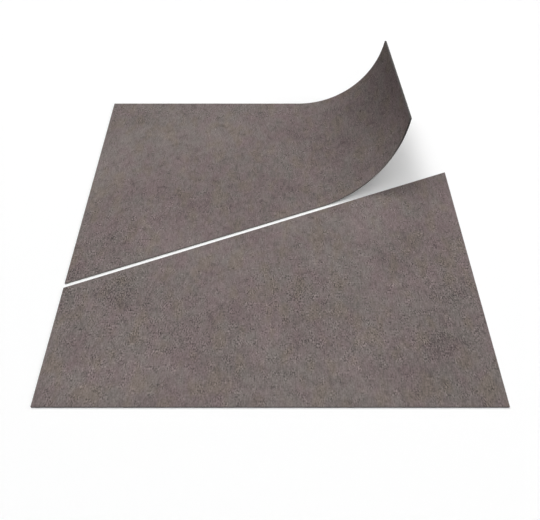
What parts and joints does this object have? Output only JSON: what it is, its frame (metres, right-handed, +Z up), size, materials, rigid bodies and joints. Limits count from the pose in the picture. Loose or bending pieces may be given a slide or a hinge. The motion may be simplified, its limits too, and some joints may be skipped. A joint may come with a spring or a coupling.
{
  "type": "vinyl floor tile",
  "caption": "Square vinyl floor tile with a concrete-look print, knife-cut in two on the slant; one piece lies flat, the other is rolled up at its right-hand end.",
  "frame": {"origin": "on the floor, under the middle of the two pieces' bounding box as they lie", "axes": "+Z up out of the printed face; +X to the right along the factory front edge, towards the rolled end; +Y towards the back, from the flat piece to the curled one"},
  "size_m": [0.5, 0.5066, 0.1147],
  "materials": {
    "vinyl": "matte concrete-look print on vinyl"
  },
  "bodies": {
    "root": {"flat_piece": "vinyl", "curled_piece": "vinyl"}
  },
  "joints": []
}
